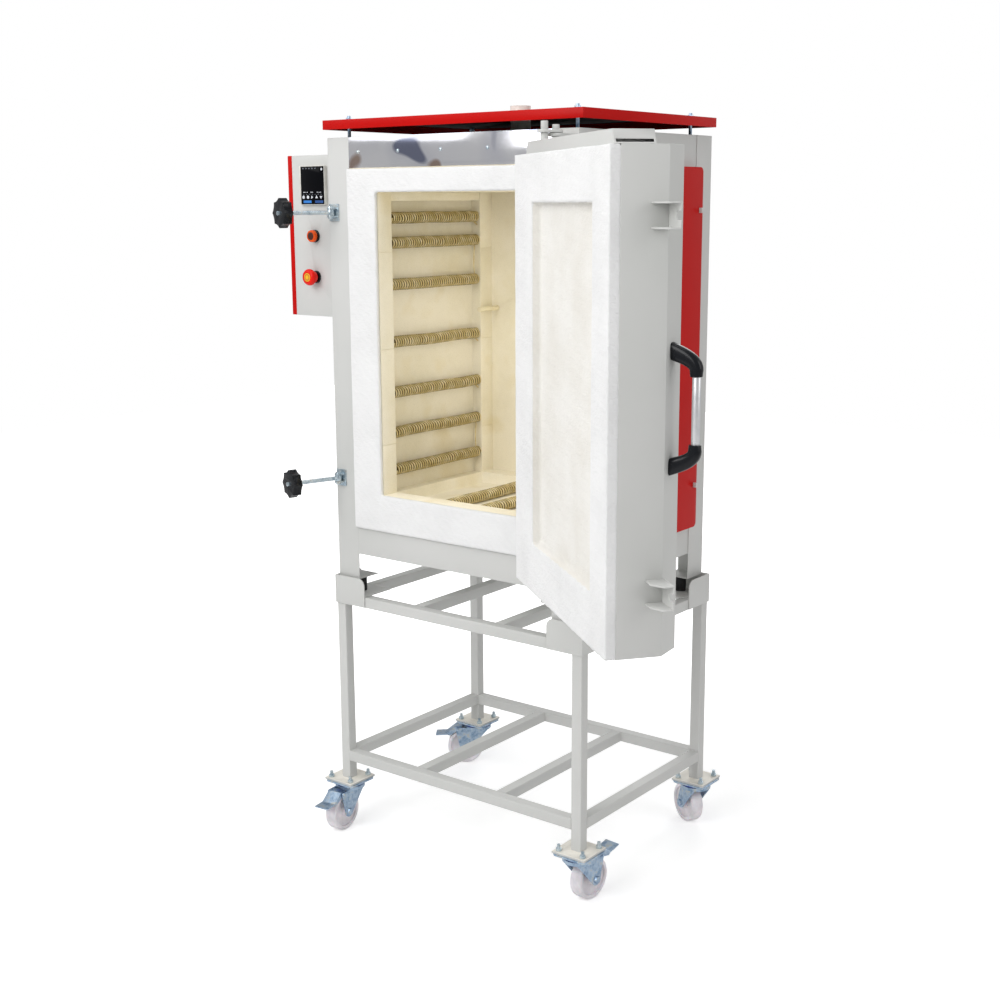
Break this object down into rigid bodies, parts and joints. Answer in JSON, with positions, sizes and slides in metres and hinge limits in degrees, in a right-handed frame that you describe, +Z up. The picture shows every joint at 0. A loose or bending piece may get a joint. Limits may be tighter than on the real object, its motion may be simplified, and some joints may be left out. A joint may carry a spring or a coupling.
{
  "type": "ceramic kiln",
  "caption": "Front-loading electric ceramic kiln on a wheeled stand, with a brick chamber, side controller, swing-bolt latches and a fibre-lined door on double-pivot hinges.",
  "frame": {"origin": "middle of the footprint's bounding box on the floor, with the door open as drawn", "axes": "+Z up, +X to the kiln's right as seen from in front, +Y to its back"},
  "size_m": [1.4114, 1.1134, 1.799],
  "materials": {
    "grey_paint": "light grey powder coat",
    "red_paint": "gloss red powder coat",
    "black_lid": "matt black",
    "bright_steel": "polished stainless sheet",
    "zinc": "bright zinc plating",
    "blue_plastic": "blue moulded plastic",
    "nylon": "white nylon",
    "rubber": "black rubber",
    "fibre": "white ceramic fibre board",
    "brick": "cream insulating brick",
    "element_ceramic": "unglazed cream ceramic",
    "element_wire": "oxidised resistance wire",
    "black_glass": "black glass front",
    "black_plastic": "black moulded plastic",
    "amber_plastic": "clear amber lens",
    "signal_red": "signal red plastic",
    "aluminium": "bright tube"
  },
  "bodies": {
    "kiln": {"stand_legs": "grey_paint", "stand_upper_frame": "grey_paint", "stand_lower_frame": "grey_paint", "stand_corner_brackets": "grey_paint", "casing_posts": "grey_paint", "casing_skin": "grey_paint", "front_beam": "grey_paint", "control_box": "grey_paint", "hinge_brackets": "grey_paint", "casing_hinge_pins": "grey_paint", "roof_tray": "red_paint", "terminal_cover": "red_paint", "cover_hooks": "red_paint", "control_box_cover": "red_paint", "casing_lid": "black_lid", "front_plate": "bright_steel", "castor_top_plates": "zinc", "castor_bolts": "zinc", "roof_studs": "zinc", "latch_clevises": "zinc", "castor_seals": "blue_plastic", "rubber_feet": "rubber", "fibre_frame": "fibre", "brick_side_walls": "brick", "brick_back_wall": "brick", "brick_floor": "brick", "brick_ceiling": "brick", "element_tubes": "element_ceramic", "vent_tube": "element_ceramic", "thermocouple": "element_ceramic", "element_windings": "element_wire", "controller": "black_glass", "button_collars": "black_plastic", "cable_gland": "black_plastic"},
    "hinge_link": {"hinge_links": "grey_paint", "door_hinge_pins": "grey_paint"},
    "door": {"door_shell": "grey_paint", "door_lining": "fibre", "door_cap": "grey_paint", "door_hinge_arms": "grey_paint", "latch_brackets": "grey_paint", "handle_ends": "black_plastic", "handle_tube": "aluminium"},
    "swing_bolt_upper": {"swing_bolt_upper": "zinc"},
    "swing_bolt_lower": {"swing_bolt_lower": "zinc"},
    "star_knob_upper": {"star_knob_upper": "black_plastic"},
    "star_knob_lower": {"star_knob_lower": "black_plastic"},
    "start_button": {"start_button": "amber_plastic"},
    "estop_button": {"estop_button": "signal_red"},
    "castor_fork_front_left": {"castor_fork_front_left": "zinc"},
    "castor_wheel_front_left": {"castor_wheel_front_left": "nylon"},
    "castor_fork_front_right": {"castor_fork_front_right": "zinc"},
    "castor_wheel_front_right": {"castor_wheel_front_right": "nylon"},
    "castor_fork_rear_left": {"castor_fork_rear_left": "zinc"},
    "castor_wheel_rear_left": {"castor_wheel_rear_left": "nylon"},
    "castor_fork_rear_right": {"castor_fork_rear_right": "zinc"},
    "castor_wheel_rear_right": {"castor_wheel_rear_right": "nylon"},
    "brake_pedal_front_left": {"brake_pedal_front_left": "zinc"},
    "brake_pedal_front_right": {"brake_pedal_front_right": "zinc"},
    "brake_pedal_rear_left": {"brake_pedal_rear_left": "zinc"}
  },
  "joints": [
    {"name": "hinge_link_swing", "type": "hinge", "parent": "kiln", "child": "hinge_link", "pos_m": [0.15425, -0.09424, 1.2345], "axis": [0, 0, 1], "range_deg": [-14.2, 2.8]},
    {"name": "door_swing", "type": "hinge", "parent": "hinge_link", "child": "door", "pos_m": [0.14288, -0.11797, 1.2345], "axis": [0, 0, 1], "range_deg": [-127.9, 25]},
    {"name": "swing_bolt_upper_swing", "type": "hinge", "parent": "kiln", "child": "swing_bolt_upper", "pos_m": [-0.53175, -0.04824, 1.556], "axis": [0, 0, 1], "range_deg": [-52, 22.5]},
    {"name": "star_knob_upper_spin", "type": "hinge", "parent": "swing_bolt_upper", "child": "star_knob_upper", "pos_m": [-0.57007, -0.16617, 1.556], "axis": [-0.309, -0.9511, 0], "continuous": true},
    {"name": "swing_bolt_lower_swing", "type": "hinge", "parent": "kiln", "child": "swing_bolt_lower", "pos_m": [-0.53175, -0.04824, 0.917], "axis": [0, 0, 1], "range_deg": [-52, 22.5]},
    {"name": "star_knob_lower_spin", "type": "hinge", "parent": "swing_bolt_lower", "child": "star_knob_lower", "pos_m": [-0.57007, -0.16617, 0.917], "axis": [-0.309, -0.9511, 0], "continuous": true},
    {"name": "start_press", "type": "slide", "parent": "kiln", "child": "start_button", "axis": [0, 1, 0], "range_m": [0, 0.003], "stiffness_N_per_m": 300},
    {"name": "estop_press", "type": "slide", "parent": "kiln", "child": "estop_button", "axis": [0, 1, 0], "range_m": [0, 0.005], "stiffness_N_per_m": 400},
    {"name": "castor_front_left_swivel", "type": "hinge", "parent": "kiln", "child": "castor_fork_front_left", "pos_m": [-0.54225, -0.02574, 0.1073], "axis": [0, 0, 1], "continuous": true},
    {"name": "castor_front_left_roll", "type": "hinge", "parent": "castor_fork_front_left", "child": "castor_wheel_front_left", "pos_m": [-0.5392, -0.06061, 0.05], "axis": [-0.9962, -0.0872, 0], "continuous": true},
    {"name": "brake_front_left_press", "type": "hinge", "parent": "castor_fork_front_left", "child": "brake_pedal_front_left", "pos_m": [-0.53737, -0.08153, 0.102], "axis": [-0.9962, -0.0872, 0], "range_deg": [0, 20]},
    {"name": "castor_front_right_swivel", "type": "hinge", "parent": "kiln", "child": "castor_fork_front_right", "pos_m": [0.17475, -0.02574, 0.1073], "axis": [0, 0, 1], "continuous": true},
    {"name": "castor_front_right_roll", "type": "hinge", "parent": "castor_fork_front_right", "child": "castor_wheel_front_right", "pos_m": [0.17841, 0.00907, 0.05], "axis": [0.9945, -0.1045, 0], "continuous": true},
    {"name": "brake_front_right_press", "type": "hinge", "parent": "castor_fork_front_right", "child": "brake_pedal_front_right", "pos_m": [0.18061, 0.02995, 0.102], "axis": [0.9945, -0.1045, 0], "range_deg": [-20, 0]},
    {"name": "castor_rear_left_swivel", "type": "hinge", "parent": "kiln", "child": "castor_fork_rear_left", "pos_m": [-0.54225, 0.50326, 0.1073], "axis": [0, 0, 1], "continuous": true},
    {"name": "castor_rear_left_roll", "type": "hinge", "parent": "castor_fork_rear_left", "child": "castor_wheel_rear_left", "pos_m": [-0.57092, 0.48319, 0.05], "axis": [-0.5736, 0.8192, 0], "continuous": true},
    {"name": "brake_rear_left_press", "type": "hinge", "parent": "castor_fork_rear_left", "child": "brake_pedal_rear_left", "pos_m": [-0.58812, 0.47114, 0.102], "axis": [-0.5736, 0.8192, 0], "range_deg": [0, 20]},
    {"name": "castor_rear_right_swivel", "type": "hinge", "parent": "kiln", "child": "castor_fork_rear_right", "pos_m": [0.17475, 0.50326, 0.1073], "axis": [0, 0, 1], "continuous": true},
    {"name": "castor_rear_right_roll", "type": "hinge", "parent": "castor_fork_rear_right", "child": "castor_wheel_rear_right", "pos_m": [0.14414, 0.52023, 0.05], "axis": [0.4848, 0.8746, 0], "continuous": true}
  ],
  "couplings": [
    {"joint": "hinge_link_swing", "follows": "door_swing", "ratio": 0.11102}
  ]
}
